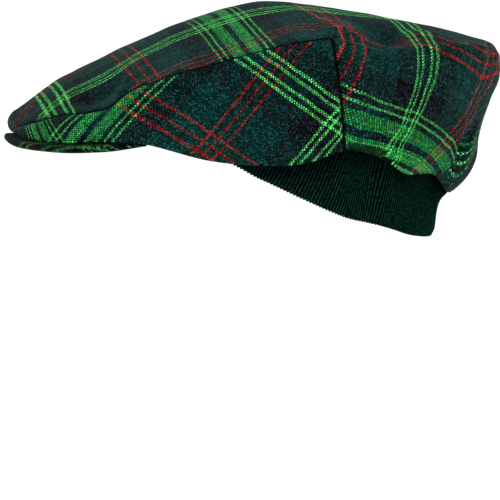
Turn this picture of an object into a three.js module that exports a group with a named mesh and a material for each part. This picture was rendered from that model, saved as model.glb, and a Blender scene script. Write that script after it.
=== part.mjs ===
// A soft flat cap with a fold-down knitted ear flap, in millimetres, +Z up.
// The peak points along -X, the wearer's left is -Y, and the origin is the middle of the head opening.
// The crown is a centre panel, which runs from the peak over the top and spreads out round the back,
// and a side panel on each side. The panels are walls of cloth that meet at seams.

import * as THREE from "three";

// Driving sizes
const CLOTH = 2.0; // crown wall, outer cloth and backing together
const SEAM_GAP = 0.4; // between neighbouring pieces
const SEAM_SINK = 1.1; // how far cloth is drawn in along a seam
const PEAK_THICKNESS = 4.2; // stiff board wrapped in cloth
const KNIT = 2.6; // knitted wall in the valley between two ribs
const RIB_PITCH = 3.2;
const RIB_HEIGHT = 1.0;
const RIB_SCALLOP = 0.8; // a rib's end hangs this much lower than the valley beside it
const FLAP_TUCK = { front: 6, back: 14 }; // how far the flap reaches up inside the rim
const HEM_ROUNDING = 0.8; // along the flap's lower edge

// Mesh steps
const STEPS_PER_SECTION = 3;
const WALL_ROWS = 8;
const ARCH_COLUMNS = 6; // across half of the top
const PEAK_STEPS = 5; // between two rows of the peak's table
const NOSE_STEPS = 4; // round the peak's front edge

// A table as a list of records: one for each named row, with the columns as its fields
function table(columns, rows) {
  return Object.entries(rows).map(([name, values]) => {
    const fields = columns.map((key, i) => [key, values[i]]);
    return { name, ...Object.fromEntries(fields) };
  });
}

// Half of the crown, from the front centre round the wearer's left side to the back centre.
// rim is the lower edge, ridge is where the wall meets the top, crestX is where the section's arch over the
// top crosses the middle, and bulge is how far the wall stands out past the straight line from rim to ridge.
// full is how boxy that bulge is, 1 for a round arc and less for a squarer one, and low moves its widest
// place down from half height, where it is 1.
const CROWN_SECTIONS = table(
  ["rimX", "rimY", "rimZ", "ridgeX", "ridgeY", "ridgeZ", "crestX", "bulge", "full", "low"],
  {
    "front centre": [-154.5, 0, 22.6, -152.5, 0, 35.5, -152.5, 3.5, 0.7, 1],
    "front corner": [-150, 25, 20.8, -150.6, 23.5, 27, -147, 0.6, 1, 1],
    "peak front": [-137, 46, 17.3, -139, 42, 28.5, -135, 3, 1, 1],
    "peak side": [-116, 66, 16.2, -120, 59, 33, -118, 4, 0.8, 1],
    "peak rear": [-94, 76, 16.8, -92, 73, 37.5, -92, 4.5, 0.8, 1],
    temple: [-70, 80.5, 15.2, -63.2, 84, 53.2, -63, 5, 0.85, 1],
    "side front": [-34, 82.5, 6, -31.7, 89.5, 62, -32, 6, 0.85, 1],
    "side middle": [-3, 83.5, 3.2, 1.2, 91, 71.5, 1, 7.5, 0.85, 1],
    "side rear": [22.5, 82.5, 4.5, 19.6, 89, 75.1, 20, 9, 0.85, 0.95],
    "rear seam": [45.2, 77.4, 14.5, 38, 85, 76.8, 38, 12, 0.8, 0.9],
    pocket: [64.5, 69.4, 12.5, 67.4, 71, 70, 66, 15, 0.7, 0.8],
    lobe: [80, 60.5, -2, 90, 57, 73, 86, 14, 0.65, 0.7],
    "back quarter": [96, 46, -2.5, 112, 41, 75, 108, 11, 0.55, 0.7],
    "back corner": [109, 26, -7.5, 130, 23, 75, 129, 8, 0.5, 0.75],
    "back centre": [115, 0, -11.5, 139.5, 0, 72, 139.5, 6.5, 0.4, 0.8],
  },
);
const FRONT_SEAM = 1; // the side panel runs from this section
const REAR_SEAM = 9; // to this one
const FLAP_START = 6; // the ear flap runs from this section round the back
const LAST = CROWN_SECTIONS.length - 1;

// Height of the crown along its middle, front to back
const CREST = table(["x", "z"], {
  front: [-152.5, 35.5],
  lip: [-126, 54],
  brow: [-86, 73.6],
  rise: [-40, 92.5],
  top: [0, 101.3],
  fall: [51, 95.8],
  rear: [97, 86.6],
  turn: [130, 78.2],
  back: [139.5, 72],
});
const SPINE = { front: -100, back: 40 }; // the sections stand square to this line, and fan out past its ends
const ROOF_ROUNDING = 0.4; // share of its half width in which the top bends over, straighter beyond
const ROOF_LEAN = THREE.MathUtils.degToRad(22); // about how steep the top is at the ridge

// Soft folds and hollows of the wall. section and up are where one is centred, wide and tall its half
// sizes in sections and in shares of the wall's height, and out is its depth, outwards if positive.
const WALL_FOLDS = table(["section", "wide", "up", "tall", "out"], {
  "hollow below the dent": [10.1, 0.7, 0.75, 0.5, -6],
  "roll behind the seam": [9.35, 0.3, 0.5, 0.6, 2],
  "pocket above the rim": [9.8, 0.5, 0.2, 0.2, -4],
  "back pleat": [12.7, 0.35, 0.3, 0.3, -4],
  "temple hollow": [4.3, 0.7, 0.8, 0.5, -2.5],
});

// The same on the top, where across and reach are shares of the way from its middle to the ridge
const TOP_FOLDS = table(["section", "wide", "across", "reach", "out"], {
  "hollow over the front seam": [3.6, 1.4, 0.8, 0.32, -6],
  "bump at the seam corner": [9.1, 0.7, 0.85, 0.35, 6],
  "dent behind the corner": [10.1, 0.7, 0.8, 0.4, -7],
  "roll behind the dent": [11.3, 0.9, 0.8, 0.35, 4],
});

// The peak, from its centre to its left corner, as the middle of its thickness
const PEAK_SECTIONS = table(["outX", "outY", "outZ", "inX", "inY", "inZ"], {
  centre: [-157.1, 0, 19.3, -102, 0, 20.2],
  front: [-146.5, 38.5, 14.9, -98, 30, 19.6],
  side: [-120.5, 66.5, 12.4, -90, 50, 18],
  rear: [-96, 77.5, 12.9, -79, 63, 16],
  corner: [-74, 75, 14.6, -70, 71.5, 15],
});

// The ear flap, at the crown's sections from its front end to the back centre: where its lower edge hangs,
// and how far it closes in on the nape below the rim
const FLAP_SECTIONS = table(["hemZ", "flare"], {
  "front end": [8.5, 0],
  "side middle": [-4.6, 0],
  "side rear": [-16.6, 0],
  "rear seam": [-26.4, 0],
  pocket: [-32.2, 0.5],
  lobe: [-36, 3],
  "back quarter": [-38.5, 6.5],
  "back corner": [-40, 7.5],
  "back centre": [-40.5, 8],
});
const FLARE_DROP = 5; // most of the closing in is done this far below the rim
const FLAP_LEAN = 0.08; // and the rest goes on by this much for each millimetre further down
const OUTER_ROWS = [0, 0.34, 0.42, 0.52, 0.7, 0.95, 1]; // shares of the flap's height, from the top
const INNER_ROWS = [1, 0.7, 0.42, 0];

const WOOL = 0x123a30;
const KNIT_GREEN = 0x0a2f27;
const matt = (color) => new THREE.MeshStandardMaterial({ color, roughness: 0.92, metalness: 0 });

// A smooth curve through four values, from b at 0 to c at 1
function cubic(a, b, c, d, t) {
  const m0 = (c - a) / 2;
  const m1 = (d - b) / 2;
  const t2 = t * t;
  const t3 = t2 * t;
  return (2 * t3 - 3 * t2 + 1) * b + (t3 - 2 * t2 + t) * m0 + (3 * t2 - 2 * t3) * c + (t3 - t2) * m1;
}

// A column of a table of sections at a fractional row. Past the middle of the cap the rows repeat as in a
// mirror, where a sideways column changes sign. Past a last row off the middle they run straight on.
function column(rows, key, at, endsInMiddle = true) {
  const last = rows.length - 1;
  const sideways = key.endsWith("Y") ? -1 : 1;
  const value = (i) => {
    if (i < 0) return sideways * rows[-i][key];
    if (i <= last) return rows[i][key];
    return endsInMiddle ? sideways * rows[2 * last - i][key] : 2 * rows[last][key] - rows[last - 1][key];
  };
  const i = Math.min(Math.floor(at), last - 1);
  return cubic(value(i - 1), value(i), value(i + 1), value(i + 2), at - i);
}

// Height of a curve that is a table of x and z, kept free of overshoot between its rows
function heightAt(rows, x) {
  const last = rows.length - 1;
  let i = rows.findIndex((row) => row.x > x) - 1;
  if (i < 0) i = x < rows[0].x ? 0 : last - 1;
  const slope = (j) => (rows[j + 1].z - rows[j].z) / (rows[j + 1].x - rows[j].x);
  const tangent = (j) => {
    if (j === 0) return slope(0);
    if (j === last) return slope(last - 1);
    const a = slope(j - 1);
    const b = slope(j);
    return a * b <= 0 ? 0 : (2 * a * b) / (a + b);
  };
  const span = rows[i + 1].x - rows[i].x;
  const t = THREE.MathUtils.clamp((x - rows[i].x) / span, 0, 1);
  const t2 = t * t;
  const t3 = t2 * t;
  const from = (2 * t3 - 3 * t2 + 1) * rows[i].z + (t3 - 2 * t2 + t) * span * tangent(i);
  return from + (3 * t2 - 2 * t3) * rows[i + 1].z + (t3 - t2) * span * tangent(i + 1);
}

const bump = (distance, reach) => {
  const share = Math.min(Math.abs(distance) / reach, 1);
  return (1 - share * share) ** 2;
};

// The two ends of the wall at a section, on the left side
function rimPoint(s) {
  const at = (key) => column(CROWN_SECTIONS, key, s);
  return new THREE.Vector3(at("rimX"), -at("rimY"), at("rimZ"));
}

function ridgePoint(s) {
  const at = (key) => column(CROWN_SECTIONS, key, s);
  return new THREE.Vector3(at("ridgeX"), -at("ridgeY"), at("ridgeZ"));
}

// The level way out of the cap at a section
function outward(s) {
  const rim = rimPoint(s);
  const spineX = THREE.MathUtils.clamp(rim.x, SPINE.front, SPINE.back);
  return new THREE.Vector3(rim.x - spineX, rim.y, 0).normalize();
}

// A point of the wall: s is the section, and up runs from 0 at the rim to 1 at the ridge
function wallPoint(s, up) {
  const full = column(CROWN_SECTIONS, "full", s);
  const low = column(CROWN_SECTIONS, "low", s);
  const arc = Math.sin(Math.PI * up ** low);
  let out = column(CROWN_SECTIONS, "bulge", s) * arc ** full;
  for (const fold of WALL_FOLDS) {
    out += fold.out * arc * bump(s - fold.section, fold.wide) * bump(up - fold.up, fold.tall);
  }
  return rimPoint(s).lerp(ridgePoint(s), up).addScaledVector(outward(s), out);
}

// A point of the top: across runs from 0 at the middle to 1 at the left ridge
function topPoint(s, across) {
  const ridge = ridgePoint(s);
  const crestX = column(CROWN_SECTIONS, "crestX", s);
  const crestZ = heightAt(CREST, crestX);
  const fall = (share) => Math.hypot(1, share / ROOF_ROUNDING) - 1;
  const point = new THREE.Vector3(
    THREE.MathUtils.lerp(crestX, ridge.x, across * across),
    ridge.y * across,
    THREE.MathUtils.lerp(crestZ, ridge.z, fall(across) / fall(1)),
  );
  const lean = across * ROOF_LEAN;
  let out = 0;
  for (const fold of TOP_FOLDS) {
    const fade = Math.sin(Math.PI * across);
    out += fold.out * fade * bump(s - fold.section, fold.wide) * bump(across - fold.across, fold.reach);
  }
  return point.addScaledVector(new THREE.Vector3(0, -Math.sin(lean), Math.cos(lean)), out);
}

const mirrored = (p) => new THREE.Vector3(p.x, -p.y, p.z);

// The whole outer face of the crown as one net of points and triangles, each triangle marked with its panel
function crownNet() {
  const points = [];
  const triangles = [];
  const seam = new Set();
  const rim = new Map();
  const known = new Map();
  const add = (p) => {
    const key = [p.x, p.y, p.z].map((value) => value.toFixed(3)).join();
    if (!known.has(key)) known.set(key, points.push(p) - 1);
    return known.get(key);
  };
  const patch = (panel, a, b, c, d) => {
    for (const [i, j, k] of [[a, b, c], [a, c, d]]) {
      if (i !== j && j !== k && i !== k) triangles.push({ panel, corners: [i, j, k] });
    }
  };
  const columns = LAST * STEPS_PER_SECTION;
  for (const side of ["left", "right"]) {
    const placed = (p) => add(side === "left" ? p : mirrored(p));
    const turned = (a, b, c, d) => (side === "left" ? [a, b, c, d] : [c, b, a, d]);
    const quad = (panel, ...corners) => patch(panel, ...turned(...corners));
    for (let i = 0; i < columns; i++) {
      const [s0, s1] = [i / STEPS_PER_SECTION, (i + 1) / STEPS_PER_SECTION];
      const inside = s0 >= FRONT_SEAM && s1 <= REAR_SEAM;
      for (let j = 0; j < WALL_ROWS; j++) {
        const [u0, u1] = [j / WALL_ROWS, (j + 1) / WALL_ROWS];
        const corners = [[s0, u0], [s1, u0], [s1, u1], [s0, u1]].map(([s, u]) => placed(wallPoint(s, u)));
        quad(inside ? `side_panel_${side}` : "centre_panel", ...corners);
        if (j === 0) {
          const level = [s0, s1].map(outward).map((out) => (side === "left" ? out : mirrored(out)));
          rim.set(corners[0], level[0]).set(corners[1], level[1]);
        }
        if (s0 === FRONT_SEAM) [corners[0], corners[3]].forEach((n) => seam.add(n));
        if (s1 === REAR_SEAM) [corners[1], corners[2]].forEach((n) => seam.add(n));
        if (inside && j === WALL_ROWS - 1) [corners[2], corners[3]].forEach((n) => seam.add(n));
      }
      for (let j = 0; j < ARCH_COLUMNS; j++) {
        const [v0, v1] = [j / ARCH_COLUMNS, (j + 1) / ARCH_COLUMNS];
        const corners = [[s0, v1], [s1, v1], [s1, v0], [s0, v0]].map(([s, v]) => placed(topPoint(s, v)));
        quad("centre_panel", ...corners);
      }
    }
  }
  return { points, triangles, seam, rim };
}

// Each point's way out of the face, averaged over the triangles round it, and level along the rim
function wayOut({ points, triangles, rim }) {
  const normals = points.map(() => new THREE.Vector3());
  for (const { corners } of triangles) {
    const [a, b, c] = corners.map((n) => points[n]);
    const square = b.clone().sub(a).cross(c.clone().sub(a));
    corners.forEach((n) => normals[n].add(square));
  }
  return normals.map((normal, n) => rim.get(n) ?? normal.normalize());
}

// The triangles' edges that only one of them has, each as a pair of corners
function openEdges(triangles) {
  const edges = new Map();
  for (const { corners } of triangles) {
    corners.forEach((n, i) => {
      const m = corners[(i + 1) % 3];
      if (!edges.delete(`${m},${n}`)) edges.set(`${n},${m}`, [n, m]);
    });
  }
  return [...edges.values()];
}

function solid(name, corners, material) {
  const geometry = new THREE.BufferGeometry();
  const positions = corners.flatMap((p) => [p.x, p.y, p.z]);
  geometry.setAttribute("position", new THREE.Float32BufferAttribute(positions, 3));
  geometry.computeVertexNormals();
  const mesh = new THREE.Mesh(geometry, material);
  mesh.name = name;
  return mesh;
}

// One panel of the crown as a wall of cloth: its outer face, a face inside it, and edges all round.
// Its edges are drawn back from the seams by half of the gap.
function panel(name, net, normals) {
  const triangles = net.triangles.filter((triangle) => triangle.panel === name);
  const edges = openEdges(triangles);
  const pull = new Map();
  for (const [a, b] of edges.filter((edge) => edge.every((n) => net.seam.has(n)))) {
    const along = net.points[b].clone().sub(net.points[a]);
    for (const n of [a, b]) {
      if (!pull.has(n)) pull.set(n, new THREE.Vector3());
      pull.get(n).add(normals[n].clone().cross(along).normalize());
    }
  }
  const outer = new Map();
  const inner = new Map();
  for (const n of new Set(triangles.flatMap(({ corners }) => corners))) {
    const p = net.points[n].clone();
    if (net.seam.has(n) && !net.rim.has(n)) p.addScaledVector(normals[n], -SEAM_SINK);
    if (pull.has(n)) p.addScaledVector(pull.get(n).normalize(), SEAM_GAP / 2);
    outer.set(n, p);
    inner.set(n, p.clone().addScaledVector(normals[n], -CLOTH));
  }
  const faces = [];
  for (const { corners: [a, b, c] } of triangles) {
    faces.push(outer.get(a), outer.get(b), outer.get(c));
    faces.push(inner.get(a), inner.get(c), inner.get(b));
  }
  for (const [a, b] of edges) {
    const [oa, ob, ia, ib] = [outer.get(a), outer.get(b), inner.get(a), inner.get(b)];
    faces.push(...(a < b ? [ob, oa, ia, ob, ia, ib] : [ob, oa, ib, oa, ia, ib]));
  }
  return solid(name, faces, matt(WOOL));
}

// A solid through a row of closed loops with as many points each. The two end loops are closed by a strip of
// triangles that zigzags from one side of the wall to the other.
function loft(name, loops, material) {
  const faces = [];
  const count = loops[0].length;
  for (let i = 0; i + 1 < loops.length; i++) {
    for (let j = 0; j < count; j++) {
      const k = (j + 1) % count;
      const [a, b, c, d] = [loops[i][j], loops[i + 1][j], loops[i + 1][k], loops[i][k]];
      faces.push(a, b, c, a, c, d);
    }
  }
  const close = (loop, turn) => {
    for (let low = 0, high = count - 1; high - low > 1; low++, high--) {
      const fan = [[loop[low], loop[low + 1], loop[high]]];
      if (high - low > 2) fan.push([loop[low + 1], loop[high - 1], loop[high]]);
      fan.forEach(([a, b, c]) => faces.push(...(turn ? [c, b, a] : [a, b, c])));
    }
  };
  close(loops[0], false);
  close(loops[loops.length - 1], true);
  return solid(name, faces, material);
}

// The peak's outline across its thickness at a row of its table: along the top to the edge, round it,
// and back along the underside
function peakLoop(s) {
  const at = (key) => column(PEAK_SECTIONS, key, s, false);
  const out = new THREE.Vector3(at("outX"), -at("outY"), at("outZ"));
  const back = new THREE.Vector3(at("inX"), -at("inY"), at("inZ"));
  const half = PEAK_THICKNESS / 2;
  const forward = out.clone().sub(back).normalize();
  const up = new THREE.Vector3(0, 0, 1).addScaledVector(forward, -forward.z).normalize();
  const top = [0, 0.5].map((share) => back.clone().lerp(out, share).addScaledVector(up, half));
  const nose = [];
  for (let i = 0; i <= NOSE_STEPS; i++) {
    const turn = Math.PI * (0.5 - i / NOSE_STEPS);
    const tip = out.clone().addScaledVector(forward, half * Math.cos(turn));
    nose.push(tip.addScaledVector(up, half * Math.sin(turn)));
  }
  const under = [0.5, 0].map((share) => back.clone().lerp(out, share).addScaledVector(up, -half));
  return [...top, ...nose, ...under];
}

function peak() {
  const last = PEAK_SECTIONS.length - 1;
  const steps = last * PEAK_STEPS;
  const left = [];
  for (let i = steps; i >= 0; i--) left.push(peakLoop((i / steps) * last));
  const right = left.slice(0, -1).reverse().map((loop) => loop.map(mirrored));
  return loft("peak", [...left, ...right], matt(WOOL));
}

// The flap's outline down its wall at a section: down the outer face and up the inner one
function flapLoop(s, rib) {
  const rim = rimPoint(s);
  const out = outward(s);
  const at = (key) => column(FLAP_SECTIONS, key, s - FLAP_START);
  const tuck = THREE.MathUtils.lerp(FLAP_TUCK.front, FLAP_TUCK.back, Math.min(s - FLAP_START, 1));
  const top = rim.z + tuck;
  const hem = at("hemZ") - (rib ? RIB_SCALLOP : 0);
  const face = (share, depth) => {
    const z = THREE.MathUtils.lerp(top, hem, share);
    const below = Math.max(rim.z - z, 0);
    const closing = at("flare") * (1 - Math.exp(-below / FLARE_DROP)) + FLAP_LEAN * below;
    return new THREE.Vector3(rim.x, rim.y, z).addScaledVector(out, -(CLOTH + SEAM_GAP + closing + depth));
  };
  const rounding = (share) => (share === 1 ? HEM_ROUNDING : 0);
  const outer = OUTER_ROWS.map((share) => face(share, (rib ? 0 : RIB_HEIGHT) + rounding(share)));
  const inner = INNER_ROWS.map((share) => face(share, RIB_HEIGHT + KNIT - rounding(share)));
  return [...outer, ...inner];
}

// Where the ribs and the valleys between them stand, evenly spaced along the rim from the flap's front end
// to the back centre
function ribStations() {
  const fine = 400;
  const lengths = [0];
  const at = (i) => FLAP_START + ((LAST - FLAP_START) * i) / fine;
  for (let i = 1; i <= fine; i++) {
    const step = rimPoint(at(i)).sub(rimPoint(at(i - 1))).setZ(0);
    lengths.push(lengths[i - 1] + step.length());
  }
  const halves = 2 * Math.round(lengths[fine] / RIB_PITCH);
  const stations = [];
  for (let n = 0; n <= halves; n++) {
    const target = (lengths[fine] * n) / halves;
    const i = Math.max(1, lengths.findIndex((length) => length >= target));
    const share = (target - lengths[i - 1]) / (lengths[i] - lengths[i - 1]);
    stations.push({ s: at(i - 1 + share), rib: n % 2 === 0 });
  }
  return stations;
}

function earFlap() {
  const left = ribStations().map(({ s, rib }) => flapLoop(s, rib));
  const right = left.slice(0, -1).map((loop) => loop.map(mirrored));
  return loft("ear_flap", [...right, ...left.reverse()], matt(KNIT_GREEN));
}

const cap = new THREE.Group();
cap.name = "flat_cap";
const net = crownNet();
const normals = wayOut(net);
for (const name of ["centre_panel", "side_panel_left", "side_panel_right"]) {
  cap.add(panel(name, net, normals));
}
cap.add(peak(), earFlap());

export default cap;
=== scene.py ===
"""A soft flat cap of checked wool with a ribbed knit ear flap, dressed over its CAD frame."""

import math

import bpy
import numpy as np
from bpy.props import FloatProperty, FloatVectorProperty, PointerProperty
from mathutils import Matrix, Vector, kdtree, noise


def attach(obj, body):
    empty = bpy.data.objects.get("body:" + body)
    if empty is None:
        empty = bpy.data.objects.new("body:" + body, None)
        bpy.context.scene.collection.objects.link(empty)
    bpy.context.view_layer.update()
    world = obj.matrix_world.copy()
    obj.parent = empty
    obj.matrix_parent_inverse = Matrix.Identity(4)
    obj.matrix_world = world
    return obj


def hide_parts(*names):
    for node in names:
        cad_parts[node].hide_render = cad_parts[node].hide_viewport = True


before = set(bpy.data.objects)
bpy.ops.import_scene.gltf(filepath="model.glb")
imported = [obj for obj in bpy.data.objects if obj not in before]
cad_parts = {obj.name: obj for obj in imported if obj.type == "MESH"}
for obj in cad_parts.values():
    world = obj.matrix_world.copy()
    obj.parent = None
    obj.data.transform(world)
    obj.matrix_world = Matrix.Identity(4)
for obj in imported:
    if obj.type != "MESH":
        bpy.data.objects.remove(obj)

bl_info = {
    "name": "Flat Cap",
    "version": (1, 0, 0),
    "blender": (4, 5, 0),
    "location": "View3D > Sidebar > Flat Cap",
    "description": "Builds a checked wool flat cap with a ribbed knit ear flap",
    "category": "Add Mesh",
}

MM = 0.001


def table(columns, rows):
    """Rows of numbers as one array for each named column."""
    values = np.array(list(rows.values()), dtype=float)
    return dict(zip(columns.split(), values.T))


# Half of the crown from the front centre round the left side to the back centre, in millimetres
CROWN = table("rimX rimY rimZ ridgeX ridgeY ridgeZ crestX bulge full low", {
    "front centre": [-154.5, 0, 22.6, -152.5, 0, 35.5, -152.5, 3.5, 0.7, 1],
    "front corner": [-150, 25, 20.8, -150.6, 23.5, 27, -147, 0.6, 1, 1],
    "peak front": [-137, 46, 17.3, -139, 42, 28.5, -135, 3, 1, 1],
    "peak side": [-116, 66, 16.2, -120, 59, 33, -118, 4, 0.8, 1],
    "peak rear": [-94, 76, 16.8, -92, 73, 37.5, -92, 4.5, 0.8, 1],
    "temple": [-70, 80.5, 15.2, -63.2, 84, 53.2, -63, 5, 0.85, 1],
    "side front": [-34, 82.5, 6, -31.7, 89.5, 62, -32, 6, 0.85, 1],
    "side middle": [-3, 83.5, 3.2, 1.2, 91, 71.5, 1, 7.5, 0.85, 1],
    "side rear": [22.5, 82.5, 4.5, 19.6, 89, 75.1, 20, 9, 0.85, 0.95],
    "rear seam": [45.2, 77.4, 11.5, 38, 85, 76.8, 38, 12, 0.8, 0.9],
    "pocket": [64.5, 69.4, 8.5, 67.4, 71, 70, 66, 15, 0.7, 0.8],
    "lobe": [80, 60.5, -2, 90, 57, 73, 86, 14, 0.65, 0.7],
    "back quarter": [96, 46, -2.5, 112, 41, 75, 108, 11, 0.55, 0.7],
    "back corner": [108.5, 26, -13, 130, 23, 74, 129, 8, 0.5, 0.75],
    "back centre": [114.5, 0, -14.5, 141.2, 0, 69.5, 141.2, 6.5, 0.6, 0.8],
})
FRONT_SEAM, REAR_SEAM, FLAP_START, LAST = 1, 9, 6, 14

# Height of the crown along its middle, front to back
CREST = table("x z", {
    "front": [-152.5, 35.5],
    "lip": [-126, 54],
    "brow": [-86, 73.6],
    "rise": [-40, 92.5],
    "top": [0, 101.3],
    "fall": [51, 95.8],
    "rear": [97, 86.6],
    "turn": [130.5, 78.4],
    "corner": [137.5, 75.2],
    "back": [141.2, 69.5],
})
SPINE_FRONT, SPINE_BACK = -100, 40
ROOF_ROUNDING = 0.4
ROOF_LEAN = math.radians(22)

# Folds and hollows: where each is centred, its half sizes, and its depth, outwards if positive
WALL_FOLDS = {
    "hollow below the dent": (10.1, 0.7, 0.75, 0.5, -6),
    "roll behind the seam": (9.35, 0.3, 0.5, 0.6, 2),
    "pocket above the rim": (9.8, 0.55, 0.16, 0.25, -6),
    "back pleat": (12.75, 0.4, 0.25, 0.3, -4),
    "hollow of the back": (14, 1.3, 0.5, 0.3, -2.8),
    "roll at the foot of the back": (14, 1.3, 0.2, 0.2, 1.8),
    "roll under the back's edge": (14, 1.3, 0.86, 0.18, 3),
    "temple hollow": (4.3, 0.7, 0.8, 0.5, -2.5),
}
TOP_FOLDS = {
    "hollow over the front seam": (3.7, 1.3, 0.86, 0.22, -4.5),
    "bump at the seam corner": (9.1, 0.7, 0.85, 0.35, 7.5),
    "dent behind the corner": (10.1, 0.7, 0.8, 0.4, -8.5),
    "roll behind the dent": (11.3, 0.9, 0.8, 0.35, 4),
}

# Narrow creases: the face they are on, the sections and shares they pass through, half width and height
CREASE_STEPS, CREASE_END = 60, 0.04
CREASES = {
    "fold beside the front seam": ("top", [(4.65, 0.76), (4.4, 0.84), (4.18, 0.97)], 4, 3),
    "hollow before that fold": ("top", [(4.1, 0.74), (3.7, 0.82), (3.3, 0.84)], 7, -1.6),
    "crease behind the corner": ("top", [(8.9, 0.93), (9.3, 0.87), (9.75, 0.87), (10.3, 0.97)], 4.4, 3),
    "hollow under that crease": ("wall", [(9.7, 0.86), (10.2, 0.8)], 8, -1.5),
    "pleat at the back": ("wall", [(13.05, 0.5), (12.85, 0.33), (12.65, 0.18), (12.45, 0.04)], 3, -3),
}
RIM_ROLL = {"depth": 4, "section": LAST, "sections": 2.2, "height": 0.16}
POCKET_TUCK = {"depth": 4, "section": 9.7, "sections": 0.9}
SEAM_LIFT = {"depth": 3.2, "section": 4.45, "sections": 0.55}
# Soft relief: how far puckers reach from a seam, how fine they and the waves of the cloth are, how high the
# second waves are beside the first, and the share of all of it that is left at the rim
RELIEF = {"reach": 9, "pucker": 0.22, "wave": 0.035, "ripple": 0.08, "second": 0.5, "rim": 0.25}

# How the cloth of the centre panel lies at the same sections: its place along and across the check, in
# millimetres of cloth, at the crest and at the left ridge, how much further it runs down the left rear
# wall, and how far the lines across bow between crest and left ridge
LAY = table("crestAlong ridgeAlong crestAcross ridgeAcross sweep ease fall settle bow", {
    "front centre": [-21, -21, -70, -70, 0, 1, 0, 1, 0],
    "front corner": [-14, -20, -70, -48, 0, 1, 0, 1, 0],
    "peak front": [1, -14, -69, -11, 0, 1, 0, 1, 0],
    "peak side": [20, 0, -63, 35, 0, 1, 0, 1, 0],
    "peak rear": [48.5, 26, -54.5, 40, 0, 1, 0, 1, 4.3],
    "temple": [80.5, 53.5, -47.5, 52, 0, 1, 0, 1, 0],
    "side front": [111, 85, -42, 59, 0, 1, 0, 1, 1.2],
    "side middle": [146, 117.5, -39, 68, 0, 1, 0, 1, 0],
    "side rear": [164, 136, -35, 82, 20, 1, 42, 0.8, 0],
    "rear seam": [178, 151, -28, 69, 29, 1, 46, 0.8, 0],
    "pocket": [203, 178.5, -11, 61, 28, 1.5, 53, 0.8, 0],
    "lobe": [218, 208.5, 3, 56, 47, 2, 62, 1, 0],
    "back quarter": [234, 231, 13, 46, 57, 2, 62.5, 1, 0],
    "back corner": [250, 253, 26, 40.5, 60, 1.6, 66, 1, 0],
    "back centre": [269, 269, 42, 42, 30, 1, 106, 1, 0],
})
# The pleat at the back: its section half way down the wall and at the rim, its width, and the painted shade
# in its fold
PLEAT = {"middle": 12.8, "rim": 12.3, "width": 0.06, "shade": 0.14, "start": 0.55, "rise": 0.2}
# The cloth behind the pleat: its place along the check at the middle of the back, its step from section to
# section, its lift, and the place across the check where it is tucked and runs back. It takes this lay some
# way down the wall, sooner but more slowly at the middle, and the right side takes it over in some sections
BEHIND = {
    "along": 299, "step": 16, "lift": 6, "across": 96.4, "back": 0.7,
    "start": 0.3, "sooner": 0.2, "rise": 0.3, "slower": 0.3, "sections": 4.5,
}
# Painted shade on the tuck of the rim behind the rear seam
RIM_TUCK = {
    "from": 9, "fade_in": 0.12, "to": 10.4, "fade_out": 0.25, "start": 0.83, "rise": 0.1, "dark": 0.85,
}
# The lobe's foot, where the lines along the check turn with the rim
LOBE_CURL = {"section": 10.6, "sections": 0.6, "start": 0.78, "depth": 15}
# The cloth of the top's right half lies flat, at this slant to the crest
RIGHT_SLANT = math.radians(16)
# The side panels lie at a slant: the check's place and turn on the level plane of the wall
SIDE_ALONG = {"start": 16, "x": -0.783, "z": 0.626}
SIDE_ACROSS = {"start": 42.2, "x": -0.505, "z": -0.689}
SIDE_GATHER = {"from": -35, "to": -90, "depth": 7.3}
SIDE_FRONT = {"from": -106, "turn": 0.02}

# The peak from its centre to its left corner, as the middle of its thickness
PEAK = table("outX outY outZ inX inY inZ", {
    "centre": [-157.1, 0, 19.3, -102, 0, 20.2],
    "front": [-146.5, 38.5, 14.9, -98, 30, 19.6],
    "side": [-120.5, 66.5, 12.4, -90, 50, 18],
    "rear": [-96, 77.5, 12.9, -79, 63, 16],
    "corner": [-74, 75, 14.6, -70, 71.5, 15],
})
PEAK_ROWS, PEAK_TURNS, PEAK_STEPS = 14, 12, 90
PEAK_TAPER = {"from": 3, "share": 0.7}
PEAK_CLOTH_TURN = math.radians(-24)
PEAK_CLOTH_START = (60, 106)
# How much painted shade lies on all of the peak's cloth, for the crown's shadow over it
PEAK_SHADE = 0.805

# The ear flap from its front end to the back centre, at the crown's sections
FLAP = table("hemZ flare", {
    "front end": [8.5, 0],
    "side middle": [-4.6, 0],
    "side rear": [-16.6, 0],
    "rear seam": [-26.4, 0],
    "pocket": [-30.6, 0.5],
    "lobe": [-34.2, 3],
    "back quarter": [-38.2, 5.8],
    "back corner": [-40, 7.2],
    "back centre": [-40.5, 7.5],
})
TUCK_FRONT, TUCK_BACK = 6, 14
FLARE_DROP, FLAP_LEAN = 5, 0.08
FLAP_SWELL = {"depth": 4, "lead": 1, "rise": 0.7, "fade": 3}
HEM_CURL = {"start": 0.86, "depth": 2.4}
# Shares of the flap's height where its rows draw closer, where the ribs' ends begin to hang, and where the
# rounded hem begins
FLAP_CLOSER, FLAP_HANG, FLAP_HEM = 0.3, 0.8, 0.97
UPPER_ROWS, LOWER_ROWS, INNER_ROWS, HEM_STEPS = 2, 18, 9, 7
# How far the knit runs on round the hem, for each radian, and to the first row behind it
HEM_ROUND, HEM_BEHIND = 1.3, 4
POINTS_PER_RIB, RIB_ROUNDNESS = 8, 0.75
RIB_SIZES = {"Rib pitch": "rib_pitch", "Rib height": "rib_height", "Rib scallop": "rib_scallop"}

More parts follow.
